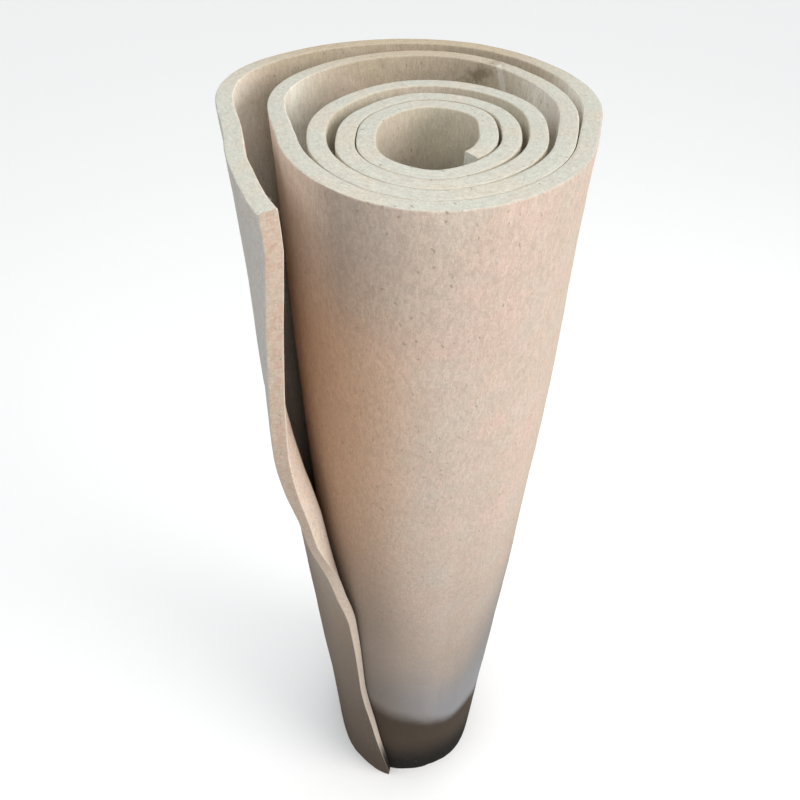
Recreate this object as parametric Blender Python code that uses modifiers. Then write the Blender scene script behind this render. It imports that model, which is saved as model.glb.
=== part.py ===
"""A loose roll of thick wool felt standing on its end.

One rectangle of felt is wound outwards, counterclockwise seen from above, from an inner end at the
front right to a free end at the front left. The turns press together at the front and part at the
back, and the free end stands off the roll near the top and lies against it further down.

Metres, +Z up. The front of the roll looks along -Y, and +X is its right. The origin is on the
floor, in the middle of the roll's box.
"""
import math

import bmesh
import bpy
import numpy as np

MM = 0.001

# Driving sizes
FELT_WIDTH = 1.000            # cut width of the felt, which is the height of the roll
WIND_CENTRE = (0.0066, -0.0307)   # point that every turn's radius is measured from
FIRST_DIRECTION = -90.0       # degrees from +X of the first direction named below
DIRECTION_STEP = 45.0         # degrees between the named directions
TURN = 360.0
INNER_END = -54.0             # direction of the felt's inner end

# Named directions, counterclockwise seen from above
DIRECTIONS = ("front", "front_right", "right", "back_right", "back", "back_left", "left", "front_left")

# Thickness of the felt in mm by direction: it is pressed a little where the turns squeeze together
FELT = dict(front=9.2, front_right=9.8, right=10.3, back_right=9.8, back=9.7, back_left=9.6,
            left=10.3, front_left=9.8)

# The roll's section at the top edge, where the turns are pulled out of round, in mm by direction:
# the radius of the innermost turn's middle line, then the air between each turn and the next one out
TOP = dict(
    inner=dict(front=33.5, front_right=32.0, right=30.2, back_right=35.6, back=36.2, back_left=32.8,
               left=32.6, front_left=40.5),
    air=(
        dict(front=4.6, front_right=1.3, right=1.8, back_right=1.0, back=1.3, back_left=0.5,
             left=0.6, front_left=0.5),
        dict(front=0.5, front_right=1.6, right=3.8, back_right=8.8, back=10.2, back_left=9.4,
             left=5.4, front_left=0.6),
        dict(front=0.5, front_right=1.2, right=4.4, back_right=21.5, back=42.0, back_left=37.0,
             left=6.0, front_left=0.5),
        dict(front=0.5, front_right=0.6, right=0.6, back_right=10.0, back=13.0, back_left=23.0,
             left=0.6, front_left=0.6),
    ),
)

# The section further down, where the roll has settled to a rounder shape
SETTLED = dict(
    inner=dict(front=19.5, front_right=22.5, right=33.5, back_right=38.5, back=40.0, back_left=38.5,
               left=37.0, front_left=34.5),
    air=(
        dict(front=0.6, front_right=0.6, right=1.0, back_right=1.0, back=1.2, back_left=0.6,
             left=0.6, front_left=0.6),
        dict(front=0.5, front_right=0.6, right=5.5, back_right=9.5, back=10.0, back_left=10.0,
             left=7.0, front_left=1.0),
        dict(front=0.5, front_right=0.6, right=7.0, back_right=29.0, back=38.0, back_left=34.0,
             left=9.5, front_left=1.2),
        dict(front=0.5, front_right=0.6, right=3.0, back_right=11.0, back=13.0, back_left=14.0,
             left=2.2, front_left=1.0),
    ),
)

# Shape by depth below the top edge in m: how far the section has settled, how far in mm the
# outermost turn stands off at the left side, at its bend and at its free end, and the direction
# in degrees where it stops
BY_DEPTH = (
    dict(depth=0.020, settled=0.00, side_off=15.0, bend_off=17.5, end_off=26.5, end=228.5),
    dict(depth=0.080, settled=0.22, side_off=12.5, bend_off=19.0, end_off=36.0, end=226.0),
    dict(depth=0.150, settled=0.50, side_off=13.0, bend_off=21.5, end_off=46.0, end=222.0),
    dict(depth=0.220, settled=0.70, side_off=13.0, bend_off=17.0, end_off=60.0, end=217.5),
    dict(depth=0.300, settled=0.82, side_off=10.0, bend_off=8.0, end_off=70.0, end=215.0),
    dict(depth=0.400, settled=0.92, side_off=6.0, bend_off=3.0, end_off=18.0, end=216.0),
    dict(depth=0.470, settled=0.97, side_off=5.0, bend_off=1.5, end_off=4.0, end=222.0),
    dict(depth=0.660, settled=1.00, side_off=3.0, bend_off=1.0, end_off=0.0, end=223.0),
    dict(depth=0.800, settled=0.97, side_off=1.0, bend_off=0.0, end_off=0.0, end=233.0),
    dict(depth=0.980, settled=1.00, side_off=0.0, bend_off=0.0, end_off=0.0, end=248.0),
)

# The outermost turn leaves the roll over these directions of the last turn, and past the hinge its
# columns follow the direction of the free end
HINGE_ANGLE = 4 * TURN + 90.0
OFF_STARTS = 4 * TURN + 120.0
SIDE_ANGLE = 4 * TURN + 180.0
BEND_ANGLE = 4 * TURN + 205.0
END_ANGLE = 4 * TURN + 229.0
LAST_ANGLE = 4 * TURN + 265.0    # the spiral is worked out a little past the free end

# Mesh
COLUMN_STEP = 10.0                # degrees between columns up to the hinge
FLAP_COLUMNS = 16
ROW_DEPTHS = (0.0, 0.02, 0.08, 0.14, 0.20, 0.26, 0.32, 0.38, 0.45, 0.56, 0.70, 0.84, 0.98, 1.0)
EASE_WINDOW = 21                  # degrees over which the spiral is eased, so that it has no corners


def by_direction(rows):
    """The rows' values, one after the other in winding order."""
    return [row[name] for row in rows for name in DIRECTIONS]


def monotone(x, nodes_x, nodes_y):
    """A smooth curve through the nodes that never swings past them."""
    nodes_x = np.asarray(nodes_x, float)
    nodes_y = np.asarray(nodes_y, float)
    step = np.diff(nodes_x)
    slope = np.diff(nodes_y) / step
    rising = slope[:-1] * slope[1:] > 0
    weight_a = 2 * step[1:] + step[:-1]
    weight_b = step[1:] + 2 * step[:-1]
    safe_a = np.where(rising, slope[:-1], 1.0)
    safe_b = np.where(rising, slope[1:], 1.0)
    inner = np.where(rising, (weight_a + weight_b) / (weight_a / safe_a + weight_b / safe_b), 0.0)
    tangent = np.concatenate(([slope[0]], inner, [slope[-1]]))
    k = np.clip(np.searchsorted(nodes_x, x) - 1, 0, len(step) - 1)
    t = np.clip((x - nodes_x[k]) / step[k], 0.0, 1.0)
    rise = (nodes_y[k + 1] - nodes_y[k]) * t * t * (3 - 2 * t)
    lead = step[k] * tangent[k] * t * (1 - t) ** 2
    trail = step[k] * tangent[k + 1] * t * t * (1 - t)
    return nodes_y[k] + rise + lead - trail


def felt_thickness(angle):
    """Thickness in mm at a winding angle."""
    nodes = FIRST_DIRECTION + DIRECTION_STEP * np.arange(len(DIRECTIONS) + 1)
    values = by_direction([FELT]) + [FELT[DIRECTIONS[0]]]
    return monotone((angle - FIRST_DIRECTION) % TURN + FIRST_DIRECTION, nodes, values)


def wind_spiral(section):
    """Winding angles, one a degree, and the radius of the middle line in mm there.

    The first turn is given. Each later point lies one thickness and the air of its turn outside the
    point a turn before it, measured square to the felt.
    """
    air_values = by_direction(section["air"]) + [section["air"][-1]["front_left"]]
    air_nodes = FIRST_DIRECTION + DIRECTION_STEP * np.arange(len(air_values))
    angle = np.arange(FIRST_DIRECTION, LAST_ANGLE + 1.0)
    turn = int(TURN)
    closing = section["inner"]["front"] + FELT["front"] + section["air"][0]["front"]
    nodes = FIRST_DIRECTION + DIRECTION_STEP * np.arange(len(DIRECTIONS) + 1)
    radius = np.zeros_like(angle)
    radius[:turn] = monotone(angle[:turn], nodes, by_direction([section["inner"]]) + [closing])
    for start in range(turn, len(angle), turn):
        stop = min(start + turn, len(angle))
        before = radius[start - turn:start]
        lean = np.hypot(1.0, np.gradient(before, math.radians(1)) / before)
        inside = angle[start:stop] - TURN
        layer = felt_thickness(inside) + monotone(inside, air_nodes, air_values)
        radius[start:stop] = before[:stop - start] + layer * lean[:stop - start]
    half = EASE_WINDOW // 2
    head = radius[0] + (radius[0] - radius[1:half + 1][::-1])
    tail = radius[-1] + (radius[-1] - radius[-half - 1:-1][::-1])
    padded = np.concatenate((head, radius, tail))
    eased = np.convolve(padded, np.ones(EASE_WINDOW) / EASE_WINDOW, "valid")
    return angle, eased


def at_depth(column, depth):
    """A value of the shape by depth."""
    return monotone(depth, [row["depth"] for row in BY_DEPTH], [row[column] for row in BY_DEPTH])


def sheet_point(angle, depth, spirals):
    """A point of the felt's middle surface."""
    (spiral_angle, top_radius), (_, settled_radius) = spirals
    settled = float(at_depth("settled", depth))
    radius = np.interp(angle, spiral_angle, top_radius * (1 - settled) + settled_radius * settled)
    off = [float(at_depth(name, depth)) for name in ("side_off", "bend_off", "end_off")]
    off_angles = (HINGE_ANGLE, OFF_STARTS, SIDE_ANGLE, BEND_ANGLE, END_ANGLE)
    radius += monotone(angle, off_angles, [0.0, 0.0] + off)
    direction = math.radians(angle)
    x = WIND_CENTRE[0] + radius * MM * math.cos(direction)
    y = WIND_CENTRE[1] + radius * MM * math.sin(direction)
    return (float(x), float(y), FELT_WIDTH - depth)


def wool_felt():
    """Natural undyed wool felt, matt and cream."""
    material = bpy.data.materials.new("natural_wool_felt")
    material.use_nodes = True
    shader = material.node_tree.nodes["Principled BSDF"]
    shader.inputs["Base Color"].default_value = (0.62, 0.55, 0.45, 1.0)
    shader.inputs["Roughness"].default_value = 0.95
    shader.inputs["Metallic"].default_value = 0.0
    return material


def make_felt_sheet(collection):
    """The rolled sheet: a flat grid wound into the spiral, then given its thickness."""
    spirals = (wind_spiral(TOP), wind_spiral(SETTLED))
    fixed_columns = int(round((HINGE_ANGLE - INNER_END) / COLUMN_STEP))
    columns = fixed_columns + FLAP_COLUMNS
    rows = len(ROW_DEPTHS) - 1
    bm = bmesh.new()
    bmesh.ops.create_grid(bm, x_segments=columns, y_segments=rows, size=1.0)
    thickest = max(FELT.values())
    weights = []
    for vert in bm.verts:
        column = int(round((vert.co.x + 1) / 2 * columns))
        row = int(round((vert.co.y + 1) / 2 * rows))
        depth = ROW_DEPTHS[row]
        if column <= fixed_columns:
            angle = INNER_END + column * (HINGE_ANGLE - INNER_END) / fixed_columns
        else:
            end_angle = 4 * TURN + float(at_depth("end", depth))
            angle = HINGE_ANGLE + (end_angle - HINGE_ANGLE) * (column - fixed_columns) / FLAP_COLUMNS
        vert.co = sheet_point(angle, depth, spirals)
        weights.append(float(felt_thickness(angle)) / thickest)
    mesh = bpy.data.meshes.new("felt_sheet")
    bm.to_mesh(mesh)
    bm.free()
    sheet = bpy.data.objects.new("felt_sheet", mesh)
    collection.objects.link(sheet)
    group = sheet.vertex_groups.new(name="thickness")
    for index, weight in enumerate(weights):
        group.add([index], weight, "REPLACE")
    wall = sheet.modifiers.new("thickness", "SOLIDIFY")
    wall.thickness = thickest * MM
    wall.offset = 0.0
    wall.vertex_group = group.name
    wall.thickness_vertex_group = 0.0
    mesh.materials.append(wool_felt())
    mesh.shade_smooth()
    return sheet


def main():
    for obj in list(bpy.data.objects):
        bpy.data.objects.remove(obj, do_unlink=True)
    collection = bpy.data.collections.new("felt_roll")
    bpy.context.scene.collection.children.link(collection)
    make_felt_sheet(collection)


main()
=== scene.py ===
import math

import bpy
import numpy as np
from mathutils import Matrix, Vector


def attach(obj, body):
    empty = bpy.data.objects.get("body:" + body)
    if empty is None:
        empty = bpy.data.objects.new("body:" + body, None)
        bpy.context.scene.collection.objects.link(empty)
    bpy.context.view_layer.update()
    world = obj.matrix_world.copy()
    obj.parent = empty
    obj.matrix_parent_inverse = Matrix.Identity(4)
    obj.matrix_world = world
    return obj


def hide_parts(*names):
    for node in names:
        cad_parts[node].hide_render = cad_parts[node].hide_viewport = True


# A roll of thick undyed wool felt standing on its end. Metres, +Z up, front towards -Y.
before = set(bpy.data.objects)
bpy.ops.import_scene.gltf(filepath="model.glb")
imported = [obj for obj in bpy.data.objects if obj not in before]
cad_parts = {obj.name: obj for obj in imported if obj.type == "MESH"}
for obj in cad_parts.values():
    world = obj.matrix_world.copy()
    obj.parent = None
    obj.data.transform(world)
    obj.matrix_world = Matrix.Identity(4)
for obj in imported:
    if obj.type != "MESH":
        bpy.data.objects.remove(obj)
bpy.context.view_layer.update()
mm = 0.001
turn = 360.0
print("frame loaded")

# Rows of eight values go round the roll counterclockwise from its front:
# front, front right, right, back right, back, back left, left, front left
roll = {
    "width": 1.000,                 # cut width of the felt, which is the roll's height
    "windCentre": (0.0066, -0.0307),
    "firstDirection": -90.0,        # the front, in degrees from +X
    "directionStep": 45.0,
    "turns": 4,                     # from +X of the first turn to +X of the outermost one
    "innerEnd": -54.0,              # direction of the felt's inner end
    "woundTo": 266.0,               # degrees past the whole turns that the spiral is worked out to
    "felt": (9.2, 9.8, 10.3, 9.8, 9.7, 9.6, 10.3, 9.8),          # thickness, mm
    "spring": (0.38, 0.22, 0.0, 0.0, 0.0, 0.0, 0.0, 0.1),        # mm that the cut edges swell by
    "topInner": (33.5, 32.0, 30.2, 35.6, 36.2, 32.8, 32.6, 40.5),  # radius of the first turn, mm
    "topAir": (                     # air outside each turn, mm
        (4.6, 1.3, 1.8, 1.0, 1.3, 0.5, 0.6, 0.5),
        (0.5, 1.6, 3.8, 8.8, 10.2, 9.4, 5.4, 0.6),
        (0.5, 1.2, 4.4, 21.5, 42.0, 37.0, 6.0, 0.5),
        (0.5, 0.6, 0.6, 10.0, 13.0, 23.0, 0.6, 0.6),
    ),
    "settledInner": (19.5, 22.5, 33.5, 38.5, 40.0, 38.5, 37.0, 34.5),
    "settledAir": (
        (0.6, 0.6, 1.0, 1.0, 1.2, 0.6, 0.6, 0.6),
        (0.5, 0.6, 5.5, 9.5, 10.0, 10.0, 7.0, 1.0),
        (0.5, 0.6, 7.0, 29.0, 38.0, 34.0, 9.5, 1.2),
        (0.5, 0.6, 3.0, 11.0, 13.0, 14.0, 2.2, 1.0),
    ),
    "easing": 21,                   # degrees that each radius is averaged over
    "openAir": 30.0,                # mm of air that counts as open
}

# How the shape changes with depth below the top edge: share of the settled section, how far the
# outermost turn stands off at its side, bend and free end in mm, and where it ends in degrees
byDepth = {
    "depth": (0.02, 0.08, 0.15, 0.22, 0.30, 0.40, 0.47, 0.66, 0.80, 0.98),
    "settled": (0.00, 0.22, 0.50, 0.70, 0.82, 0.92, 0.97, 1.00, 0.97, 1.00),
    "sideOff": (15.0, 12.5, 13.0, 13.0, 10.0, 6.0, 5.0, 3.0, 1.0, 0.0),
    "bendOff": (17.5, 19.0, 21.5, 17.0, 8.0, 3.0, 1.5, 1.0, 0.0, 0.0),
    "endOff": (26.5, 36.0, 46.0, 60.0, 70.0, 18.0, 4.0, 0.0, 0.0, 0.0),
    "end": (228.5, 226.0, 222.0, 217.5, 215.0, 216.0, 222.0, 223.0, 233.0, 248.0),
}
lastTurn = roll["turns"] * turn
offAngles = [lastTurn + a for a in (90.0, 120.0, 180.0, 205.0, 229.0)]   # hinge to free end

# Mesh of the sheet, in metres
weave = {
    "spacing": 0.0031,              # along the felt
    "fineStep": 0.25,               # degrees between the points that its length is measured by
    "flapEnd": 222.0,               # direction of the free end where its length is measured
    "flapSteps": 80,
    "rows": 58,                     # between the top and bottom corners
    "endRows": 0.45,                # share of the rows' spacing that tightens towards the ends
    "across": 6,                    # faces across a cut edge
    "corner": 0.0009,               # radius that the cut corners have worn to
    "pressedCorner": 0.25,          # share of it that is left where turns press together
    "cornerSteps": 3,
    "swellDepth": 0.012,            # how far in from a cut the felt swells
    "cutWidth": 0.0095,             # width of a cut face on the texture
}

# Unevenness of the felt: height of the waves in mm, their size in metres, seed
uneven = {
    "lumpsOut": ((0.16, 0.030, 11), (0.10, 0.011, 12)),
    "lumpsIn": ((0.16, 0.030, 13), (0.10, 0.011, 14)),
    "ragged": ((0.10, 0.012, 21), (0.06, 0.005, 22)),
    "dish": ((0.18, 0.010, 31), (0.12, 0.004, 32)),
    "trimmed": 0.08,                # mm that the top cut lies lower than its corners
    "dished": 0.12,                 # mm that the end cuts are hollowed by
    "lumpsFrom": 1.0,               # mm of air beside a face where its lumps begin
    "lumpsOver": 3.0,               # mm of air that they grow over
}
sway = {
    "height": 0.55,                 # mm
    "size": 0.16,                   # metres
    "seed": 3,
    "reach": 0.1,                   # radius of the cylinder that it is worked out on
    "fade": 0.08,                   # metres from a cut that it fades over
}
wave = {
    "count": 12,                    # sine waves in a field
    "spread": (0.7, 1.6),           # how much their sizes differ
    "gain": 2.2,                    # brings their mean to about -1 to 1
}


def smoothCurve(x, nodesX, nodesY):
    # Cubic through the nodes. Its slope at a node is the weighted harmonic mean of the slopes on
    # both sides, or 0 at a peak, so that it never swings past a node. nodesY may have one column
    # for each column of x.
    nodesX = np.asarray(nodesX, float)
    nodesY = np.asarray(nodesY, float).reshape(len(nodesX), -1)
    flat = np.ndim(x) == 1
    x = np.asarray(x, float).reshape(len(x), -1)
    step = np.diff(nodesX)[:, None]
    slope = np.diff(nodesY, axis=0) / step
    rising = slope[:-1] * slope[1:] > 0
    before = 2 * step[1:] + step[:-1]
    after = step[1:] + 2 * step[:-1]
    slopeA = np.where(rising, slope[:-1], 1.0)
    slopeB = np.where(rising, slope[1:], 1.0)
    inner = np.where(rising, (before + after) / (before / slopeA + after / slopeB), 0.0)
    tangent = np.concatenate((slope[:1], inner, slope[-1:]))
    k = np.clip(np.searchsorted(nodesX, x) - 1, 0, len(nodesX) - 2)
    column = np.arange(nodesY.shape[1])
    t = np.clip((x - nodesX[k]) / step[k, 0], 0.0, 1.0)
    start = nodesY[k, column]
    rise = (nodesY[k + 1, column] - start) * t * t * (3 - 2 * t)
    lead = step[k, 0] * tangent[k, column] * t * (1 - t) ** 2
    trail = step[k, 0] * tangent[k + 1, column] * t * t * (1 - t)
    y = start + rise + lead - trail
    return y[:, 0] if flat and y.shape[1] == 1 else y


def ramp(value, low, high):
    # 0 up to low, 1 from high on, and smooth between
    t = np.clip((value - low) / (high - low), 0, 1)
    return t * t * (3 - 2 * t)


def unit(v):
    return v / np.linalg.norm(v, axis=-1, keepdims=True)


def ripples(place, size, seed):
    # Smooth uneven field from about -1 to 1: the mean of sine waves in random directions, each
    # about size long
    pick = np.random.default_rng(seed)
    count = wave["count"]
    heading = pick.normal(size=(count, place.shape[-1]))
    heading /= np.linalg.norm(heading, axis=1, keepdims=True)
    waveNumber = 2 * math.pi / (size * pick.uniform(*wave["spread"], count))
    phase = pick.uniform(0, 2 * math.pi, count)
    return np.sin(place @ (heading * waveNumber[:, None]).T + phase).mean(axis=-1) * wave["gain"]


def relief(place, name):
    # The sum of an uneven surface's layers, in mm
    return sum(height * ripples(place, size, seed) for height, size, seed in uneven[name])


def roundTheRoll(values, angle):
    # A row of eight values, joined up by a smooth curve that repeats every turn
    nodes = roll["firstDirection"] + roll["directionStep"] * np.arange(len(values) + 1)
    direction = (angle - roll["firstDirection"]) % turn + roll["firstDirection"]
    return smoothCurve(direction, nodes, list(values) + [values[0]])


def windSpiral(inner, air):
    # Radius of the felt's middle in mm, one a degree. The first turn is given. Each later point is
    # the one a turn before, plus the felt and the air between, measured square to the felt. Then
    # each radius is averaged with its neighbours.
    degrees = int(turn)
    angle = np.arange(roll["firstDirection"], lastTurn + roll["woundTo"])
    airNodes = roll["firstDirection"] + roll["directionStep"] * np.arange(len(air) * len(inner) + 1)
    airValues = [value for row in air for value in row] + [air[-1][-1]]
    nodes = airNodes[:len(inner) + 1]
    radius = np.zeros_like(angle)
    closing = inner[0] + roll["felt"][0] + air[0][0]
    radius[:degrees] = smoothCurve(angle[:degrees], nodes, list(inner) + [closing])
    for start in range(degrees, len(angle), degrees):
        stop = min(start + degrees, len(angle))
        before = radius[start - degrees:start]
        lean = np.hypot(1.0, np.gradient(before, math.radians(1)) / before)
        inside = angle[start:stop] - turn
        layer = roundTheRoll(roll["felt"], inside) + smoothCurve(inside, airNodes, airValues)
        radius[start:stop] = before[:stop - start] + layer * lean[:stop - start]
    half = roll["easing"] // 2
    head = 2 * radius[0] - radius[1:half + 1][::-1]
    tail = 2 * radius[-1] - radius[-half - 1:-1][::-1]
    kernel = np.ones(roll["easing"]) / roll["easing"]
    return angle, np.convolve(np.concatenate((head, radius, tail)), kernel, "valid")


topSpiral = windSpiral(roll["topInner"], roll["topAir"])
settledSpiral = windSpiral(roll["settledInner"], roll["settledAir"])


def radiusAt(angle, depth):
    # Radius in mm by winding angle (rows by columns) and depth (rows): the two sections mixed,
    # and past the hinge the distance that the outermost turn stands off
    settled = smoothCurve(depth, byDepth["depth"], byDepth["settled"])[:, None]
    top = np.interp(angle, *topSpiral)
    low = np.interp(angle, *settledSpiral)
    offs = [smoothCurve(depth, byDepth["depth"], byDepth[k]) for k in ("sideOff", "bendOff", "endOff")]
    zero = np.zeros_like(depth)
    off = smoothCurve(angle.T, offAngles, np.array([zero, zero] + offs)).T
    return top * (1 - settled) + low * settled + off


def middleSurface(angle, depth):
    # Points of the felt's middle: the radius, plus a slow sway that every layer shares, turned
    # into x and y round the winding centre, with z measured up from the lower edge
    radius = radiusAt(angle, depth)
    bearing = np.radians(angle)
    toEdge = np.minimum(depth, roll["width"] - depth)
    fade = np.clip(toEdge / sway["fade"], 0, 1)[:, None]
    reach = sway["reach"]
    spot = np.stack((reach * np.cos(bearing), reach * np.sin(bearing), depth[:, None] + 0 * bearing), -1)
    radius = radius + sway["height"] * fade * ripples(spot, sway["size"], sway["seed"])
    x = roll["windCentre"][0] + radius * mm * np.cos(bearing)
    y = roll["windCentre"][1] + radius * mm * np.sin(bearing)
    return np.stack((x, y, roll["width"] - depth[:, None] + 0 * x), -1)


def cornerArc():
    # Angles of a quarter round, 0 on the cut face and 90 degrees on the felt's face
    return np.radians(np.linspace(0, 90, weave["cornerSteps"] + 1))


def makeSheetGrid():
    # Columns run along the felt, close together at its two ends. Rows run down it. The winding
    # angle follows the length up to the hinge, and from there it is spread up to the free end.
    corner = weave["corner"]
    arc = corner * (1 - np.cos(cornerArc()))
    halfway = np.array([roll["width"] / 2])
    fine = np.arange(roll["innerEnd"], offAngles[0], weave["fineStep"])
    path = middleSurface(fine[None, :], halfway)[0]
    walked = np.concatenate(([0], np.cumsum(np.linalg.norm(np.diff(path, axis=0), axis=1))))
    flap = np.linspace(offAngles[0], lastTurn + weave["flapEnd"], weave["flapSteps"])
    flapPath = middleSurface(flap[None, :], halfway)[0]
    flapLength = np.linalg.norm(np.diff(flapPath, axis=0), axis=1).sum()
    length = walked[-1] + flapLength
    count = int(round(length / weave["spacing"]))
    along = np.concatenate((arc[:-1], np.linspace(corner, length - corner, count), length - arc[-2::-1]))
    t = np.linspace(0, 1, weave["rows"])
    t = t * (1 - weave["endRows"]) + weave["endRows"] * (0.5 - 0.5 * np.cos(math.pi * t))
    straight = corner + (roll["width"] - 2 * corner) * t
    down = np.concatenate((arc[:-1], straight, roll["width"] - arc[-2::-1]))
    endAngle = lastTurn + smoothCurve(down, byDepth["depth"], byDepth["end"])[:, None]
    share = np.clip((along - walked[-1]) / flapLength, 0, 1)[None, :]
    fixed = np.interp(along, walked, fine)[None, :]
    spread = offAngles[0] + (endAngle - offAngles[0]) * share
    return along, down, np.where(along[None, :] < walked[-1], fixed, spread)


along, down, angle = makeSheetGrid()
middle = middleSurface(angle, down)
downwards = np.gradient(middle, down, axis=0)
onwards = np.gradient(middle, along, axis=1)
outwards = unit(np.cross(downwards, onwards))
radius = radiusAt(angle, down)
feltMm = roundTheRoll(roll["felt"], angle.ravel()).reshape(angle.shape)


def airBeside(gap, atEnd):
    # Air between a turn and the next in mm, from 0 up to open air, which is beyond both ends too
    return np.where(atEnd, roll["openAir"], np.clip(gap, 0, roll["openAir"]))


airOut = airBeside(radiusAt(angle + turn, down) - radius - feltMm, angle + turn > angle[:, -1:])
airIn = airBeside(radius - radiusAt(angle - turn, down) - feltMm, angle - turn < roll["innerEnd"])
print("spiral laid out:", angle.shape, "length %.3f m" % along[-1])

rows, columns = angle.shape
across = weave["across"]


def layLoop():
    # Each column of the skin is one closed loop round the sheet: down its outer face, across the
    # bottom cut, up the inner face and back across the top cut. loopRow is the row that a point of
    # the loop belongs to, loopSide runs from 1 on the outer face to -1 on the inner, and loopRound
    # is 0 on the cuts and 1 or -1 on the faces, with the corners between. columnRound is 0 at the
    # felt's two ends and 1 between them.
    arc = np.sin(cornerArc())
    rowRound = np.concatenate((arc[:-1], np.ones(weave["rows"]), arc[-2::-1]))
    columnRound = np.ones(columns)
    columnRound[:len(arc)] = arc
    columnRound[-len(arc):] = arc[::-1]
    side = np.linspace(1, -1, across + 1)[1:-1]
    cutRow = np.zeros(across - 1, int)
    loopRow = np.concatenate((np.arange(rows), cutRow + rows - 1, np.arange(rows)[::-1], cutRow))
    loopSide = np.concatenate((np.ones(rows), side, -np.ones(rows), -side))
    loopRound = np.concatenate((rowRound, 0.0 * side, -rowRound[::-1], 0.0 * side))
    return loopRow, loopSide, loopRound, columnRound


loopRow, loopSide, loopRound, columnRound = layLoop()
outerSide = loopSide[:, None] > 0
upperHalf = (loopRow < rows // 2)[:, None]
cutFace = (1 - np.abs(loopRound))[:, None]


def makeShell():
    # The felt's skin. A point of a loop is the middle surface plus its outward direction times the
    # half thickness, less the corner's rounding, with slow lumps on faces that have air beside them.
    corner = weave["corner"] / mm
    swell = np.exp(-down / weave["swellDepth"]) + np.exp(-(roll["width"] - down) / weave["swellDepth"])
    spring = roundTheRoll(roll["spring"], angle.ravel()).reshape(angle.shape) * swell[:, None]
    half = (feltMm + spring) / 2 - corner * (1 - columnRound)[None, :]
    place = np.stack((along[None, :] + 0 * angle, down[:, None] + 0 * angle), -1)
    freeOut = np.clip((airOut - uneven["lumpsFrom"]) / uneven["lumpsOver"], 0, 1)
    freeIn = np.clip((airIn - uneven["lumpsFrom"]) / uneven["lumpsOver"], 0, 1)
    lumpsOut = relief(place, "lumpsOut") * freeOut
    lumpsIn = relief(place, "lumpsIn") * freeIn
    bulge = np.where(outerSide, lumpsOut[loopRow], -lumpsIn[loopRow]) * np.abs(loopSide)[:, None]
    free = np.where(outerSide, freeOut[loopRow], freeIn[loopRow])
    worn = corner * (weave["pressedCorner"] + (1 - weave["pressedCorner"]) * free)
    offset = loopSide[:, None] * (half[loopRow] - worn) + loopRound[:, None] * worn + bulge
    shell = middle[loopRow] + outwards[loopRow] * offset[..., None] * mm
    # the top cut is a little uneven, as scissors leave thick felt
    shell[..., 2] -= cutFace * upperHalf * (uneven["trimmed"] + relief(shell, "ragged")) * mm
    return shell


# Where each mark begins and where it is full
markSpans = {
    "outside": (-75.0, -55.0),      # degrees past the free end, along the turn under it
    "freeEnd": (130.0, 175.0),      # degrees past the whole turns
    # the free end's painted shadow on the turn under it:
    "flapShadow": (54.0, 4.0),       # degrees past the free end, along the turn under it
    "flapShadowMore": 46.0,          # added to the first of them for each metre of depth
    "lip": (0.200, 0.110),          # metres from the free end
}


def makeMarks():
    # Levels from 0 to 1 for the material: the cut faces, the end cut, the roll's outside, the free
    # end's own outside, the part where the free end's shadow is painted, and the free end's inner face
    pastEnd = (angle - angle[:, -1:] + turn)[loopRow]
    depth = down[loopRow][:, None]
    outside = outerSide * ramp(pastEnd, *markSpans["outside"])
    first, last = markSpans["freeEnd"]
    clear, full = markSpans["flapShadow"]
    lipClear, lipFull = markSpans["lip"]
    towardsEnd = np.arange(columns) > columns // 2
    return {
        "cutEdge": np.maximum(cutFace, 1 - columnRound[None, :]),
        "endCut": np.where(towardsEnd, 1 - columnRound, 0.0) + 0.0 * cutFace,
        "outside": outside,
        "freeEnd": outerSide * ramp(angle[loopRow], lastTurn + first, lastTurn + last),
        # painted shadow of the free end on the turn under it
        "flapShadow": outside * (1 - ramp(pastEnd, full, clear + markSpans["flapShadowMore"] * depth)),
        "lip": ~outerSide * (1 - ramp(along[-1] - along[None, :], lipFull, lipClear)),
    }


shell = makeShell()
marks = makeMarks()


def makeObject(name, vertices, quads, triangles=None):
    mesh = bpy.data.meshes.new(name)
    vertices = np.asarray(vertices, np.float32)
    faces = quads.tolist() + ([] if triangles is None else triangles.tolist())
    mesh.from_pydata(vertices.tolist(), [], faces)
    mesh.polygons.foreach_set("use_smooth", np.ones(len(faces), bool))
    mesh.update()
    made = bpy.data.objects.new(name, mesh)
    bpy.context.scene.collection.objects.link(made)
    return made


def atCell(row, column):
    # Index of a point of the shell
    return row * columns + column


def wrapSheet():
    # The shell's loops joined column to column. On the texture, u runs along the felt and v round
    # the loop, in metres.
    over = weave["cutWidth"] * np.linspace(0, 1, across + 1)[1:-1]
    under = roll["width"] + weave["cutWidth"]
    girth = np.concatenate((down, roll["width"] + over, under + down, under + roll["width"] + over))
    loops = len(shell)
    i, j = np.meshgrid(np.arange(loops), np.arange(columns - 1), indexing="ij")
    nextI = (i + 1) % loops
    corners = (atCell(i, j), atCell(nextI, j), atCell(nextI, j + 1), atCell(i, j + 1))
    seam = np.where(i == loops - 1, 2 * under, girth[nextI])
    u = np.stack((along[j], along[j], along[j + 1], along[j + 1]), -1)
    v = np.stack((girth[i], seam, seam, girth[i]), -1)
    return np.stack(corners, -1).reshape(-1, 4), np.stack((u, v), -1).reshape(-1, 2)


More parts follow.
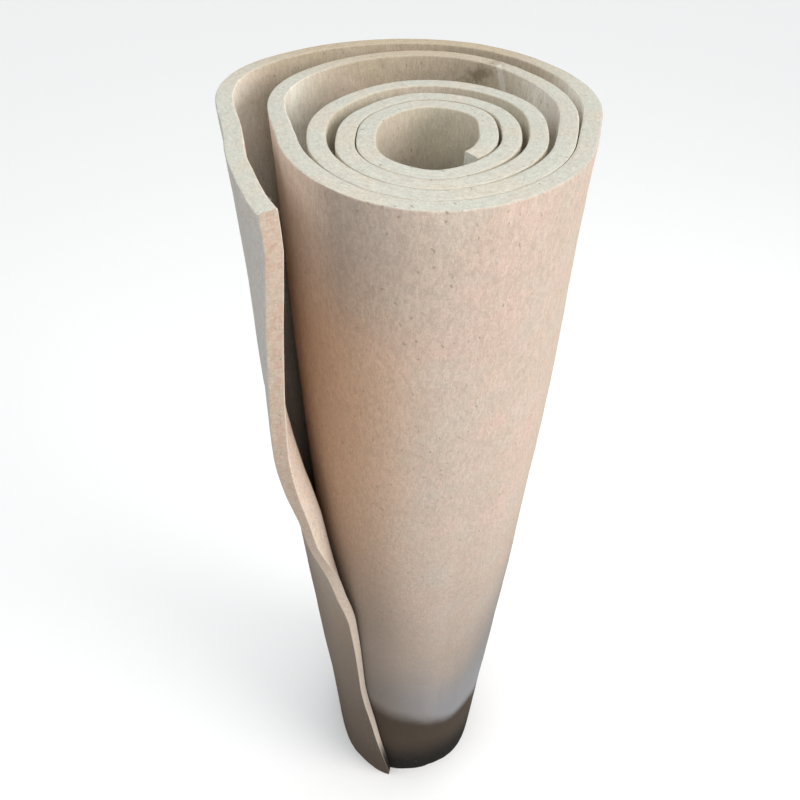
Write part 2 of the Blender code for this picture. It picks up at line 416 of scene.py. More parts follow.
def capEnd(column, outward, firstIndex):
    # A grid over one end of the felt, from the outer face to the inner, slightly hollowed. Its rim
    # is the end column of the shell, and the points between are new, from firstIndex on.
    grid = np.zeros((rows, across + 1), int)
    between = np.arange(across - 1)
    grid[:, 0] = atCell(np.arange(rows), column)
    grid[-1, 1:-1] = atCell(rows + between, column)
    grid[:, -1] = atCell((rows + across - 1 + np.arange(rows))[::-1], column)
    grid[0, 1:-1] = atCell((2 * rows + across - 1 + between)[::-1], column)
    rim = shell.reshape(-1, 3)
    t = np.linspace(0, 1, across + 1)[None, 1:-1, None]
    fill = rim[grid[1:-1, :1]] * (1 - t) + rim[grid[1:-1, -1:]] * t
    added = fill.shape[0] * fill.shape[1]
    grid[1:-1, 1:-1] = firstIndex + np.arange(added).reshape(fill.shape[:2])
    way = unit(onwards[1:-1, column])[:, None] * outward
    dish = relief(fill, "dish") - uneven["dished"]
    points = (fill + way * dish[..., None] * mm).reshape(-1, 3)
    quads = np.stack((grid[:-1, :-1], grid[1:, :-1], grid[1:, 1:], grid[:-1, 1:]), -1).reshape(-1, 4)
    over = np.linspace(0, weave["cutWidth"], across + 1)
    r, c = np.meshgrid(np.arange(rows - 1), np.arange(across), indexing="ij")
    u = along[column] + np.stack((over[c], over[c], over[c + 1], over[c + 1]), -1) * outward
    v = np.stack((down[r], down[r + 1], down[r + 1], down[r]), -1)
    uv = np.stack((u, v), -1).reshape(-1, 4, 2)
    if outward < 0:
        quads = quads[:, ::-1]
        uv = uv[:, ::-1]
    return points, quads, uv.reshape(-1, 2)


def makeFelt():
    quads, uv = wrapSheet()
    parts = [(shell.reshape(-1, 3), quads, uv)]
    levels = {name: [mark.ravel()] for name, mark in marks.items()}
    for column, outward in ((0, -1), (columns - 1, 1)):
        points, quads, uv = capEnd(column, outward, sum(len(part[0]) for part in parts))
        parts.append((points, quads, uv))
        for name in marks:
            full = name == "cutEdge" or (name == "endCut" and outward > 0)
            levels[name].append(np.full(len(points), 1.0 if full else 0.0))
    vertices, faces, texture = [np.concatenate(group) for group in zip(*parts)]
    felt = makeObject("rolledFelt", vertices, faces)
    layer = felt.data.uv_layers.new(name="sheet")
    layer.data.foreach_set("uv", texture.astype(np.float32).ravel())
    for name, level in levels.items():
        mark = felt.data.attributes.new(name, "FLOAT", "POINT")
        mark.data.foreach_set("value", np.concatenate(level).astype(np.float32))
    return felt


felt = makeFelt()
print("felt made:", len(felt.data.polygons), "faces")


class Look:
    # A material's node tree, with short calls for the nodes that felt needs
    def __init__(self, name):
        self.material = bpy.data.materials.new(name)
        self.material.use_nodes = True
        self.tree = self.material.node_tree
        self.shader = self.tree.nodes["Principled BSDF"]

    def finish(self, values):
        for socket, value in values.items():
            self.shader.inputs[socket].default_value = value

    def join(self, source, target):
        if isinstance(source, (int, float, tuple)):
            target.default_value = source
        else:
            self.tree.links.new(source, target)

    def node(self, kind, **settings):
        made = self.tree.nodes.new(kind)
        for key, value in settings.items():
            setattr(made, key, value)
        return made

    def place(self):
        return self.node("ShaderNodeTexCoord").outputs["Object"]

    def apart(self, vector):
        made = self.node("ShaderNodeSeparateXYZ")
        self.join(vector, made.inputs[0])
        return made.outputs

    def mapped(self, vector, scale, turned):
        made = self.node("ShaderNodeMapping")
        self.join(vector, made.inputs["Vector"])
        made.inputs["Scale"].default_value = scale
        made.inputs["Rotation"].default_value = (0, 0, math.radians(turned))
        return made.outputs["Vector"]

    def noise(self, vector, scale, detail, roughness, distortion):
        made = self.node("ShaderNodeTexNoise")
        self.join(vector, made.inputs["Vector"])
        made.inputs["Scale"].default_value = scale
        made.inputs["Detail"].default_value = detail
        made.inputs["Roughness"].default_value = roughness
        made.inputs["Distortion"].default_value = distortion
        return made.outputs["Fac"]

    def span(self, value, low, high, toLow=0.0, toHigh=1.0):
        made = self.node("ShaderNodeMapRange", interpolation_type="SMOOTHSTEP")
        self.join(value, made.inputs["Value"])
        for key, number in zip(("From Min", "From Max", "To Min", "To Max"), (low, high, toLow, toHigh)):
            made.inputs[key].default_value = number
        return made.outputs["Result"]

    def sums(self, operation, first, *others):
        # the operation done on the first two values, then on its result and the next, and so on
        total = first
        for other in others:
            made = self.node("ShaderNodeMath", operation=operation)
            self.join(total, made.inputs[0])
            self.join(other, made.inputs[1])
            total = made.outputs["Value"]
        return total

    def times(self, *values):
        return self.sums("MULTIPLY", *values)

    def plus(self, *values):
        return self.sums("ADD", *values)

    def rest(self, value):
        return self.sums("SUBTRACT", 1.0, value)

    def mix(self, share, a, b):
        made = self.node("ShaderNodeMix", data_type="RGBA")
        self.join(share, made.inputs[0])
        self.join(a, made.inputs[6])
        self.join(b, made.inputs[7])
        return made.outputs[2]

    def scaled(self, colour, factor):
        made = self.node("ShaderNodeHueSaturation")
        self.join(colour, made.inputs["Color"])
        self.join(factor, made.inputs["Value"])
        return made.outputs["Color"]

    def bump(self, height, distance, below=None):
        made = self.node("ShaderNodeBump")
        made.inputs["Strength"].default_value = 1.0
        made.inputs["Distance"].default_value = distance
        self.join(height, made.inputs["Height"])
        if below is not None:
            self.join(below, made.inputs["Normal"])
        return made.outputs["Normal"]


feltColours = {
    "core": (0.535, 0.487, 0.382, 1),
    # painted light on the inner faces at the sides of the hollows, painted shade on those at the back
    "insideSideLight": (0.800, 0.765, 0.670, 1),
    "insideBackShade": (0.470, 0.398, 0.295, 1),
    "insidePink": (0.575, 0.480, 0.400, 1),
    "face": (0.510, 0.414, 0.342, 1),
    "facePink": (0.578, 0.430, 0.366, 1),
    "faceGrey": (0.485, 0.445, 0.378, 1),
    # painted shadow of the free end on the roll: warm, with its own tones at the top and low down
    "flapShadow": (0.640, 0.412, 0.268, 1),
    "flapShadowTop": (0.700, 0.565, 0.462, 1),
    "flapShadowOlive": (0.410, 0.335, 0.275, 1),
    "flapShadowLow": (0.325, 0.234, 0.172, 1),
    # the free end's outside: painted cool light from the left, and painted shade low down
    "freeEnd": (0.430, 0.420, 0.395, 1),
    "freeEndLow": (0.270, 0.192, 0.126, 1),
    # painted light on the free end's inner face near its end, with painted shade lower down
    "lip": (0.720, 0.600, 0.500, 1),
    "lipLow": (0.560, 0.462, 0.385, 1),
    "cut": (0.535, 0.531, 0.464, 1),
    "cutWarm": (0.558, 0.521, 0.440, 1),
    # painted shade on the top cut towards the back
    "cutBackShade": (0.495, 0.405, 0.292, 1),
    "endCut": (0.485, 0.361, 0.282, 1),
    "endPale": (0.490, 0.405, 0.323, 1),
    # painted light on the lower part of the end cut
    "endLow": (0.650, 0.553, 0.467, 1),
    "speck": (0.200, 0.160, 0.100, 1),
    # painted highlight along a crease
    "creaseHighlight": (0.740, 0.720, 0.650, 1),
    # painted shade that deepens towards the bottom
    "paintedShade": (0.260, 0.225, 0.195, 1),
    # painted shade at the lower right side
    "rightShade": (0.215, 0.210, 0.205, 1),
    # painted cool light in a band above the painted shadow, warmer within the free end's painted shadow
    "halo": (0.262, 0.264, 0.278, 1),
    "haloWarm": (0.170, 0.148, 0.130, 1),
    # painted cast shadow over the lower part of the roll, black at the foot
    "castShadow": (0.052, 0.036, 0.024, 1),
    "foot": (0.005, 0.004, 0.003, 1),
}

# Noises on the sheet: stretch and turn of the texture, then scale, detail, roughness, distortion
feltNoises = {
    "patch": (None, 0, 17.0, 4.0, 0.6, 0.4),
    "blush": ((1.0, 0.7, 1.0), 31, 34.0, 3.0, 0.55, 0.3),
    "flecks": ((1.0, 0.55, 1.0), 8, 210.0, 3.0, 0.6, 0.5),
    "upright": ((1500.0, 380.0, 1.0), 4, 1.0, 3.0, 0.6, 1.4),
    "leaning": ((420.0, 1150.0, 1.0), 27, 1.0, 3.0, 0.6, 1.6),
    "tufts": ((470.0, 130.0, 1.0), -6, 1.0, 3.0, 0.6, 1.2),
    "layers": ((260.0, 640.0, 1.0), 3, 1.0, 3.0, 0.6, 0.8),
    "fluff": (None, 0, 1700.0, 2.0, 0.5, 0.6),
    "lumps": (None, 0, 130.0, 3.0, 0.55, 0.5),
    "warp": (None, 0, 260.0, 1.0, 0.5, 0.0),
}

# Blends: the values where each starts and ends, then what it gives there if that isn't 0 and 1.
# The values are levels of a noise or a mark, or places in metres. They give a share, but strands
# and fibres give a brightness, and castShadowRightX a height in metres.
feltBlends = {
    "pinkPatch": (0.46, 0.66, 0.0, 0.6),
    "greyPatch": (0.48, 0.64, 0.0, 0.4),
    "pinkFleck": (0.52, 0.66, 0.0, 0.22),
    "greyFleck": (0.48, 0.34, 0.0, 0.22),
    "insidePatch": (0.44, 0.64, 0.0, 0.45),
    "cutPatch": (0.44, 0.66),
    "endPatch": (0.44, 0.60),
    "endFace": (0.0, 0.4),
    "cutFace": (0.25, 0.75),
    "flapShadowOliveX": (-0.057, -0.038),
    "flapShadowTopZ": (0.88, 0.985),
    "flapShadowLowZ": (0.80, 0.50),
    "besideLeftX": (-0.080, -0.048),
    "besideRightX": (0.006, -0.036, 0.0, 0.20),
    "besideZ": (0.12, 0.36),
    "palerLeftX": (-0.004, 0.024, 0.0, 0.06),
    "palerRightX": (0.100, 0.066),
    "palerZ": (0.96, 0.84),
    "frontY": (-0.010, -0.050),
    "freeLowZ": (0.80, 0.45),
    "freeShadowY": (-0.072, -0.045, 0.0, 0.5),
    "freeShadowZ": (0.75, 0.50),
    "insideBackShadeY": (0.020, 0.070),
    "coreEndU": (0.84, 0.96),
    "lipLowZ": (0.68, 0.60),
    "cutBackShadeY": (0.030, 0.105, 0.0, 0.95),
    "endLowZ": (0.72, 0.45),
    "strands": (0.32, 0.68, 0.90, 1.06),
    "fibres": (0.36, 0.66, 0.89, 1.09),
    "paintedShadeZ": (0.80, 0.38, 0.0, 0.60),
    "rightShadeX": (-0.020, 0.044),
    "rightShadeZ": (0.80, 0.42, 0.0, 0.90),
    "castShadowRightX": (0.055, 0.095, 0.0, 0.055),
    "haloHeight": (0.40, 0.245, 0.0, 0.80),
    "castShadowHeight": (0.226, 0.168, 0.0, 0.97),
    "freeDarkZ": (0.72, 0.05, 0.0, 0.80),
    "unshadedEndZ": (0.06, 0.16, 0.25, 0.94),
    "footZ": (0.165, 0.035, 0.0, 0.97),
}


class FeltLook(Look):
    # A look that also reads the sheet's texture, the place in the roll and the marks
    def __init__(self, name):
        super().__init__(name)
        self.uv = self.node("ShaderNodeUVMap", uv_map="sheet").outputs["UV"]
        self.spot = self.place()
        self.x, self.y, self.z = self.apart(self.spot)
        self.mark = {k: self.node("ShaderNodeAttribute", attribute_name=k).outputs["Fac"] for k in marks}

    def grain(self, name):
        stretch, turned, *settings = feltNoises[name]
        vector = self.uv if stretch is None else self.mapped(self.uv, stretch, turned)
        return self.noise(vector, *settings)

    def blend(self, value, name):
        return self.span(value, *feltBlends[name])


feltShares = {"flapShadow": 0.9, "freeEnd": 0.85, "lip": 0.9}     # how fully a mark's tone covers the wool


def woolTones(look):
    # The felt's colours: the roll's outside with patches of pinker and greyer wool, the free end, the
    # inside and the cut faces, with painted light and shade laid over them in places
    x, y, z, mark, tone = look.x, look.y, look.z, look.mark, feltColours
    patch = look.grain("patch")
    blush = look.grain("blush")
    flecks = look.grain("flecks")
    face = look.mix(look.blend(patch, "pinkPatch"), tone["face"], tone["facePink"])
    face = look.mix(look.blend(blush, "greyPatch"), face, tone["faceGrey"])
    face = look.mix(look.blend(flecks, "pinkFleck"), face, tone["facePink"])
    face = look.mix(look.blend(flecks, "greyFleck"), face, tone["faceGrey"])

    # painted shadow of the free end on the roll beside it, with its own tones at the top and low down
    flapShadowTopTone = look.mix(look.blend(x, "flapShadowOliveX"), tone["flapShadowTop"], tone["flapShadowOlive"])
    flapShadowTone = look.mix(look.blend(z, "flapShadowTopZ"), tone["flapShadow"], flapShadowTopTone)
    flapShadowTone = look.mix(look.blend(z, "flapShadowLowZ"), flapShadowTone, tone["flapShadowLow"])
    face = look.mix(look.times(mark["flapShadow"], feltShares["flapShadow"]), face, flapShadowTone)

    # painted shade darkens the front beside the free end, and painted light makes it paler in the middle
    beside = look.times(look.blend(x, "besideLeftX"), look.blend(x, "besideRightX"),
                        look.blend(z, "besideZ"))
    paler = look.times(look.blend(x, "palerLeftX"), look.blend(x, "palerRightX"), look.blend(z, "palerZ"))
    level = look.times(look.sums("SUBTRACT", paler, beside), look.blend(y, "frontY"))
    face = look.scaled(face, look.plus(level, 1.0))

    # the free end's outside: a cool grey painted as cool light from the left, painted shade downwards and
    # painted shadow low at the front
    cool = look.mix(look.blend(z, "freeLowZ"), tone["freeEnd"], tone["freeEndLow"])
    cool = look.mix(look.times(look.blend(y, "freeShadowY"), look.blend(z, "freeShadowZ")), cool, tone["castShadow"])
    face = look.mix(look.times(mark["freeEnd"], feltShares["freeEnd"]), face, cool)

    # painted light on the inner faces at the sides of the hollows, painted shade on those at the back
    inside = look.mix(look.blend(y, "insideBackShadeY"), tone["insideSideLight"], tone["insideBackShade"])
    inside = look.mix(look.blend(look.apart(look.uv)[0], "coreEndU"), tone["core"], inside)
    inside = look.mix(look.blend(patch, "insidePatch"), inside, tone["insidePink"])
    face = look.mix(mark["outside"], inside, face)
    # painted light on the free end's inner face near its end, with painted shade lower down
    lipTone = look.mix(look.blend(z, "lipLowZ"), tone["lip"], tone["lipLow"])
    face = look.mix(look.times(mark["lip"], feltShares["lip"]), face, lipTone)

    cutTone = look.mix(look.blend(blush, "cutPatch"), tone["cut"], tone["cutWarm"])
    # painted shade on the top cut towards the back
    cutTone = look.mix(look.blend(y, "cutBackShadeY"), cutTone, tone["cutBackShade"])
    endTone = look.mix(look.blend(flecks, "endPatch"), tone["endPale"], tone["endCut"])
    # painted light on the lower part of the end cut
    endTone = look.mix(look.blend(z, "endLowZ"), endTone, tone["endLow"])
    cutTone = look.mix(look.blend(mark["endCut"], "endFace"), cutTone, endTone)
    return look.mix(look.blend(mark["cutEdge"], "cutFace"), face, cutTone)


fibreShares = {"upright": 0.62, "leaning": 0.38}     # of the fibres' height


def fibreLayers(look, colour):
    # Short fibres, mostly up and down the roll, and tufts of them, or layers on a cut face. Gives
    # the colour and the fibres' height.
    upright = look.times(look.grain("upright"), fibreShares["upright"])
    leaning = look.times(look.grain("leaning"), fibreShares["leaning"])
    fibres = look.plus(upright, leaning)
    cut = look.mark["cutEdge"]
    tufts = look.times(look.grain("tufts"), look.rest(cut))
    layers = look.times(look.grain("layers"), cut)
    colour = look.scaled(colour, look.blend(look.plus(tufts, layers), "strands"))
    return look.scaled(colour, look.blend(fibres, "fibres")), fibres


specks = {
    "warp": 0.004,                  # metres that the net of cells is bent by
    "stretch": (1.0, 0.45, 1.0),
    "turned": 12,
    "cells": 190.0,                 # in a metre
    "size": (0.03, 0.13, 1.0, 0.0),    # from a cell's middle, in cells
    "share": (0.60, 0.97, 0.0, 0.60),  # of the cells, and how dark the darkest is
}


def huskSpecks(look, colour):
    # Small dark bits of husk, each in its own cell of a loose net
    cells = look.node("ShaderNodeTexVoronoi", feature="F1", voronoi_dimensions="2D")
    bent = look.node("ShaderNodeVectorMath", operation="ADD")
    shift = look.node("ShaderNodeVectorMath", operation="SCALE")
    look.join(look.grain("warp"), shift.inputs[0])
    shift.inputs["Scale"].default_value = specks["warp"]
    look.join(look.uv, bent.inputs[0])
    look.join(shift.outputs[0], bent.inputs[1])
    look.join(look.mapped(bent.outputs[0], specks["stretch"], specks["turned"]), cells.inputs["Vector"])
    cells.inputs["Scale"].default_value = specks["cells"]
    pick = look.node("ShaderNodeSeparateColor")
    look.join(cells.outputs["Color"], pick.inputs[0])
    small = look.span(cells.outputs["Distance"], *specks["size"])
    few = look.span(pick.outputs[0], *specks["share"])
    return look.mix(look.times(small, few), colour, feltColours["speck"])


# A painted highlight along a crease on the inner face of the fourth turn, in metres
creaseHighlight = {
    "x": 0.0520,                    # where it meets the top edge
    "slant": 0.28,
    "width": (0.0024, 0.0010),
    "z": (0.970, 0.982),
    "nearY": (0.050, 0.054, 0.0, 0.38),
    "farY": (0.069, 0.066),
}
smudge = {
    "centre": (0.0300, 0.0702, 1.7460),     # in the stretched and slanted measure
    "stretchX": 0.75,
    "stretchZ": 1.8,
    "slant": -0.55,
    "torn": (300.0, 2.0, 0.6, 0.5),
    "raggedness": 0.020,
    "reach": (0.0240, 0.0115, 0.0, 0.80),
}


def creaseHighlightAndSmudge(look, colour):
    # A painted highlight along a crease: near a slanted line in x and z. A dark smudge beside it:
    # near its centre, by a distance that is stretched, slanted and made ragged by a noise.
    x, y, z = look.x, look.y, look.z
    below = look.times(look.sums("SUBTRACT", z, roll["width"]), creaseHighlight["slant"])
    aside = look.sums("SUBTRACT", look.plus(x, below), creaseHighlight["x"])
    size = look.node("ShaderNodeMath", operation="ABSOLUTE")
    look.join(aside, size.inputs[0])
    line = look.times(look.span(size.outputs["Value"], *creaseHighlight["width"]), look.span(z, *creaseHighlight["z"]),
                      look.span(y, *creaseHighlight["nearY"]), look.span(y, *creaseHighlight["farY"]))
    streak = look.node("ShaderNodeCombineXYZ")
    slanted = look.plus(z, look.times(x, smudge["slant"]))
    look.join(look.times(x, smudge["stretchX"]), streak.inputs[0])
    look.join(y, streak.inputs[1])
    look.join(look.times(slanted, smudge["stretchZ"]), streak.inputs[2])
    away = look.node("ShaderNodeVectorMath", operation="DISTANCE")
    look.join(streak.outputs[0], away.inputs[0])
    look.join(smudge["centre"], away.inputs[1])
    torn = look.times(look.noise(look.spot, *smudge["torn"]), smudge["raggedness"])
    dark = look.span(look.plus(away.outputs["Value"], torn), *smudge["reach"])
    colour = look.mix(dark, colour, feltColours["speck"])
    # the painted highlight along the crease
    return look.mix(line, colour, feltColours["creaseHighlight"])


# The painted cast shadow ends where z + byX * x + byY * y reaches a level, so it is highest at the front
# left
paintedShade = {
    "ragged": (14.0, 3.0, 0.5, 0.0),
    "raggedness": 0.10,
    "rightShadeLean": -0.15,              # metres in x for each metre up
    "byX": 0.55,
    "byY": 0.95,
    "castShadowRaggedness": 0.05,
    # the free end is spared most of the painted black shadow at the foot
    "paleFree": 0.80,               # share of the foot's black that the free end is spared
}


def paintedShadeAndFoot(look, colour):
    # Painted shade that deepens downwards and towards the right, a painted cast shadow over the foot
    # and a painted cool band of light above it. The free end's outside is painted darker downwards, and
    # its cut stays pale.
    x, y, z, mark, tone = look.x, look.y, look.z, look.mark, feltColours
    ragged = look.noise(look.spot, *paintedShade["ragged"])
    # painted shade that deepens towards the bottom
    downShade = look.blend(look.plus(z, look.times(ragged, paintedShade["raggedness"])), "paintedShadeZ")
    colour = look.mix(look.times(downShade, look.rest(mark["endCut"])), colour, tone["paintedShade"])
    # painted shade at the lower right side, low down
    rightward = look.plus(x, look.times(z, paintedShade["rightShadeLean"]))
    rightShade = look.times(look.blend(rightward, "rightShadeX"), look.blend(z, "rightShadeZ"))
    colour = look.mix(rightShade, colour, tone["rightShade"])

    # painted cast shadow over the lower part with a painted cool band of light above it, ending at a
    # slanted level; the free end's outside is painted darker downwards
    height = look.plus(z, look.times(x, paintedShade["byX"]), look.times(y, paintedShade["byY"]),
                       look.times(ragged, paintedShade["castShadowRaggedness"]))
    height = look.sums("SUBTRACT", height, look.blend(x, "castShadowRightX"))
    openFace = look.rest(mark["freeEnd"])
    unshaded = look.rest(look.times(mark["endCut"], look.blend(z, "unshadedEndZ")))
    halo = look.times(look.blend(height, "haloHeight"), openFace)
    castShadow = look.plus(look.times(look.blend(height, "castShadowHeight"), openFace),
                     look.times(look.blend(z, "freeDarkZ"), mark["freeEnd"]))
    haloTone = look.mix(mark["flapShadow"], tone["halo"], tone["haloWarm"])
    colour = look.mix(look.times(halo, unshaded), colour, haloTone)
    colour = look.mix(look.times(castShadow, unshaded), colour, tone["castShadow"])
    # painted black shadow at the foot
    black = look.times(look.blend(z, "footZ"), look.rest(look.times(mark["freeEnd"], paintedShade["paleFree"])))
    return look.mix(black, colour, tone["foot"])


feltRelief = {"lumps": 0.0008, "fibres": 0.0004, "fluff": 0.00022}     # bump heights, metres
feltFinish = {
    "Roughness": 0.96,
    "Sheen Weight": 0.02,
    "Sheen Roughness": 0.6,
    "Sheen Tint": (1.0, 0.95, 0.88, 1),
    "Specular IOR Level": 0.05,
}


def feltMaterial():
    look = FeltLook("naturalWoolFelt")
    colour, fibres = fibreLayers(look, woolTones(look))
    colour = huskSpecks(look, colour)
    colour = creaseHighlightAndSmudge(look, colour)
    colour = paintedShadeAndFoot(look, colour)
    look.join(colour, look.shader.inputs["Base Color"])
    look.finish(feltFinish)
    matted = look.bump(look.grain("lumps"), feltRelief["lumps"])
    hairy = look.bump(fibres, feltRelief["fibres"], matted)
    look.join(look.bump(look.grain("fluff"), feltRelief["fluff"], hairy), look.shader.inputs["Normal"])
    return look.material


felt.data.materials.append(feltMaterial())
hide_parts("felt_sheet")
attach(felt, "root")
print("felt coloured")


def scatter(count, weight, seed):
    # Random spots on the shell: a cell by its area times its weight, then a place inside it.
    # Gives the spot, the way out of the felt, and the way along the cell.
    pick = np.random.default_rng(seed)
    ahead = np.roll(shell, -1, axis=0)
    a = shell[:, :-1]
    b = ahead[:, :-1]
    c = shell[:, 1:]
    normal = np.cross(b - a, c - a)
    area = np.linalg.norm(normal, axis=-1)
    chance = (area * weight[:, :-1]).ravel()
    cell = pick.choice(chance.size, count, p=chance / chance.sum())
    i, j = np.unravel_index(cell, area.shape)
    s, t = pick.random((2, count, 1))
    nextI = (i + 1) % len(shell)
    near = shell[i, j] * (1 - t) + shell[i, j + 1] * t
    far = shell[nextI, j] * (1 - t) + shell[nextI, j + 1] * t
    return near * (1 - s) + far * s, unit(normal[i, j]), unit(c[i, j] - a[i, j]), pick


loosePlaces = {
    "room": 2.5,                    # mm of air that makes room for loose bits
    "thinning": 0.12,               # metres of depth that they thin out over in a hollow
    "clearFoot": 0.006,             # metres above the floor that stay clear
    "cornerReach": 1.01,            # depth of the corners, as a multiple of their radius
    "endColumns": 12,               # columns that belong to the free end
}


def faceWeight(top, corner, outside, hollow, end):
    # How much each part of the shell is to get: the top cut, its corners, the roll's outside, and
    # the faces beside a hollow, which fade with depth. Faces pressed together get nothing, and the
    # free end gets its own multiple.
    air = np.where(outerSide, airOut[loopRow], airIn[loopRow])
    lastOut = outerSide & (airOut[loopRow] > roll["openAir"] - 1)
    depth = down[loopRow][:, None]
    inHollow = np.where(air > loosePlaces["room"], hollow * np.exp(-depth / loosePlaces["thinning"]), 0.0)
    weight = np.where(lastOut, outside, inHollow)
    onTop = (np.abs(loopSide) < 1)[:, None] & upperHalf
    atCorner = (np.abs(loopSide) == 1)[:, None] & (depth <= weave["corner"] * loosePlaces["cornerReach"])
    weight = np.where(onTop, top, weight)
    weight = np.where(atCorner, corner, weight)
    weight = np.where(depth > roll["width"] - loosePlaces["clearFoot"], 0.0, weight)
    weight[:, -loosePlaces["endColumns"]:] *= end
    return weight


fuzz = {
    "count": 8600,
    "weights": (6.0, 40.0, 1.0, 2.0, 10.0),     # top, corners, outside, hollows, free end
    "seed": 41,
    "slant": (8, 58),               # degrees from the felt
    "waver": 0.28,                  # share of its length that a fibre bends any way
    "droop": (0.0, 0.35),           # share of it that it bends back to the felt
    "length": (0.0008, 0.0032),
    "shortened": (0.5, 1.0),
    "rooted": 0.0002,               # metres under the surface
    "radius": 0.000045,
    "taper": 0.75,
    "stoutness": (0.7, 1.3),
    "stations": 4,
    "skew": 0.01,                   # keeps a fibre's sides apart where it stands upright
}


def makeFuzz():
    # Loose fibres: thin three-sided tapered prisms that leave the felt at a low slant and bend.
    # A point is its root + way * length * t + bend * length * t squared.
    count = fuzz["count"]
    each = (count, 1)
    spot, normal, tangent, pick = scatter(count, faceWeight(*fuzz["weights"]), fuzz["seed"])
    sideways = np.cross(normal, tangent)
    around = pick.uniform(0, 2 * math.pi, each)
    lying = tangent * np.cos(around) + sideways * np.sin(around)
    slant = np.radians(pick.uniform(*fuzz["slant"], each))
    way = unit(lying * np.cos(slant) + normal * np.sin(slant))
    bend = pick.normal(size=(count, 3)) * fuzz["waver"] - normal * pick.uniform(*fuzz["droop"], each)
    length = pick.uniform(*fuzz["length"], each) * pick.uniform(*fuzz["shortened"], each)
    t = np.linspace(0, 1, fuzz["stations"])[None, :, None]
    start = (spot - normal * fuzz["rooted"])[:, None]
    path = start + (way * length)[:, None] * t + (bend * length)[:, None] * t * t
    sideA = unit(np.cross(way, normal + fuzz["skew"]))
    sideB = np.cross(way, sideA)
    thick = fuzz["radius"] * (1 - fuzz["taper"] * t) * pick.uniform(*fuzz["stoutness"], (count, 1, 1))
    ring = [path + (sideA[:, None] * math.cos(a) + sideB[:, None] * math.sin(a)) * thick
            for a in np.radians(np.array([0, 120, 240]))]
    vertices = np.stack(ring, 2).reshape(-1, 3)
    stations = fuzz["stations"]
    base = (np.arange(count) * stations * 3)[:, None, None]
    k = np.arange(stations - 1)[None, :, None] * 3
    r = np.arange(3)[None, None, :]
    n = (r + 1) % 3
    quads = np.stack((base + k + r, base + k + n, base + k + 3 + n, base + k + 3 + r), -1).reshape(-1, 4)
    root = np.stack([base.ravel() + a for a in (2, 1, 0)], -1)
    tip = np.stack([base.ravel() + (stations - 1) * 3 + a for a in (0, 1, 2)], -1)
    return makeObject("looseFibres", vertices, quads, np.concatenate((root, tip)))


looseTone = {"noise": (420.0, 2.0, 0.5, 0.0), "blend": (0.35, 0.65)}
looseFinish = {"Roughness": 0.85, "Specular IOR Level": 0.25}


def plainWool(name, colour, darker):
    look = Look(name)
    tone = look.span(look.noise(look.place(), *looseTone["noise"]), *looseTone["blend"])
    look.join(look.mix(tone, darker, colour), look.shader.inputs["Base Color"])
    look.finish(looseFinish)
    return look.material


loose = makeFuzz()
loose.data.materials.append(plainWool("looseWool", (0.84, 0.78, 0.68, 1), (0.62, 0.54, 0.43, 1)))
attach(loose, "root")

husks = {
    "count": 400,
    "weights": (0.7, 1.0, 1.0, 1.4, 1.6),       # top, corners, outside, hollows, free end
    "seed": 57,
    "turned": 0.75,                 # radians that they stray from upright
    "length": (0.0006, 0.0018),
    "shortened": (0.45, 1.0),
    "width": (0.00005, 0.00015),
    "rise": 0.35,                   # share of its width that one stands up
}


def makeHusks():
    # Bits of husk caught in the wool: flat slivers, each a stretched eight-faced lozenge that lies
    # on the felt and stands a little proud of it
    count = husks["count"]
    each = (count, 1)
    spot, normal, tangent, pick = scatter(count, faceWeight(*husks["weights"]), husks["seed"])
    around = pick.normal(math.pi / 2, husks["turned"], each)
    way = tangent * np.cos(around) + np.cross(normal, tangent) * np.sin(around)
    sideways = np.cross(normal, way)
    length = pick.uniform(*husks["length"], each) * pick.uniform(*husks["shortened"], each)
    width = pick.uniform(*husks["width"], each)
    rise = width * husks["rise"]
    half = way * length / 2
    ends = [spot + half, spot + sideways * width, spot - half, spot - sideways * width]
    vertices = np.stack(ends + [spot + normal * rise, spot - normal * rise], 1)
    base = np.arange(count)[:, None] * 6
    up = [base + np.array([a, (a + 1) % 4, 4]) for a in range(4)]
    under = [base + np.array([(a + 1) % 4, a, 5]) for a in range(4)]
    return makeObject("huskBits", vertices.reshape(-1, 3), np.concatenate(up), np.concatenate(under))


bits = makeHusks()
bits.data.materials.append(plainWool("driedHusk", (0.36, 0.29, 0.20, 1), (0.19, 0.15, 0.10, 1)))
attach(bits, "root")
print("fibres and husks scattered")

studio = {
    "floor": {"Base Color": (0.95, 0.95, 0.945, 1), "Roughness": 0.9, "Specular IOR Level": 0.1},
    "floorHalf": 6.0,               # metres from the roll to the floor's edge
    "sky": (0.97, 0.98, 1.0, 1),
    "skyStrength": 0.72,
}

# Bearing in degrees from +X, height in degrees above level, distance in metres (None is a far
# light), size in metres or degrees, share, colour
lights = {
    "rightWindow": (-22, 20, 1.6, 1.0, 0.75, (1.0, 0.955, 0.925)),
    "overhead": (20, 70, None, 60, 0.22, (0.98, 1.0, 0.97)),
    "leftWindow": (195, 45, 1.3, 0.8, 0.27, (0.92, 0.97, 1.0)),
    "frontFill": (-84, 24, 0.5, 0.12, 0.19, (1.0, 0.96, 0.93)),
}
farLightPlace = 3.0                 # metres away, which doesn't change a far light


def makeFloor():
    # A plain pale square that the roll stands on
    half = studio["floorHalf"]
    corners = [(-half, -half, 0), (half, -half, 0), (half, half, 0), (-half, half, 0)]
    floor = makeObject("studioFloor", corners, np.array([[0, 1, 2, 3]]))
    look = Look("paleFloor")
    look.finish(studio["floor"])
    floor.data.materials.append(look.material)


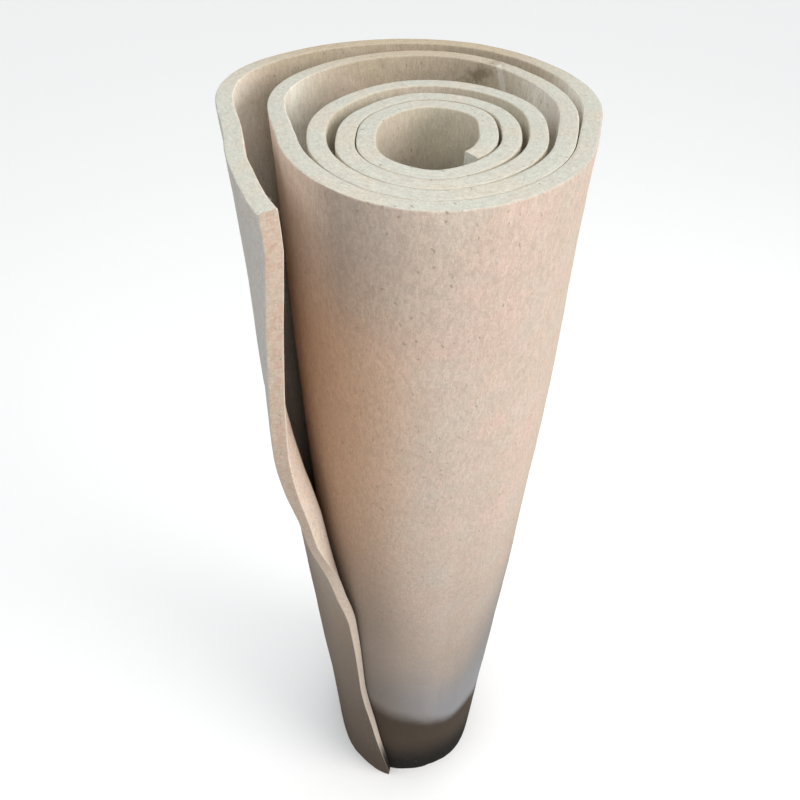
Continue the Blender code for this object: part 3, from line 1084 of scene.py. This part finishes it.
def addLight(name, bearing, height, distance, size, share, colour):
    # A soft light aimed at the middle of the roll's top. share is how bright a white surface
    # there, square to the light, looks. A panel's power is share times the square of its distance
    # and of pi. A far light is size degrees wide.
    a = math.radians(bearing)
    e = math.radians(height)
    towards = Vector((math.cos(a) * math.cos(e), math.sin(a) * math.cos(e), math.sin(e)))
    if distance is None:
        data = bpy.data.lights.new(name, "SUN")
        data.energy = share * math.pi
        data.angle = math.radians(size)
    else:
        data = bpy.data.lights.new(name, "AREA")
        data.energy = share * (math.pi * distance) ** 2
        data.shape = "DISK"
        data.size = size
    data.color = colour
    light = bpy.data.objects.new(name, data)
    light.location = Vector((0, 0, roll["width"])) + towards * (distance or farLightPlace)
    light.rotation_mode = "QUATERNION"
    light.rotation_quaternion = (-towards).to_track_quat("-Z", "Y")
    bpy.context.scene.collection.objects.link(light)


makeFloor()
for name, settings in lights.items():
    addLight(name, *settings)

world = bpy.data.worlds.new("softRoom")
world.use_nodes = True
world.node_tree.nodes["Background"].inputs["Color"].default_value = studio["sky"]
world.node_tree.nodes["Background"].inputs["Strength"].default_value = studio["skyStrength"]
bpy.context.scene.world = world
bpy.context.scene.view_settings.view_transform = "Standard"

# The photograph's view: just above the top edge, looking steeply down
viewpoint = {
    "place": (-0.0083, -0.3558, 1.140),
    "down": 46.6,                   # degrees below level
    "roll": 0.4,
    "lens": 28.125,                 # mm
    "sensor": 36.0,
    "nearest": 0.01,
}
cameraData = bpy.data.cameras.new("viewpoint")
cameraData.lens = viewpoint["lens"]
cameraData.sensor_width = viewpoint["sensor"]
cameraData.clip_start = viewpoint["nearest"]
camera = bpy.data.objects.new("viewpoint", cameraData)
tilt = Matrix.Rotation(math.radians(90 - viewpoint["down"]), 4, "X")
lean = Matrix.Rotation(math.radians(viewpoint["roll"]), 4, "Z")
camera.matrix_world = Matrix.Translation(viewpoint["place"]) @ tilt @ lean
bpy.context.scene.collection.objects.link(camera)
bpy.context.scene.camera = camera
print("floor, lights and camera set")
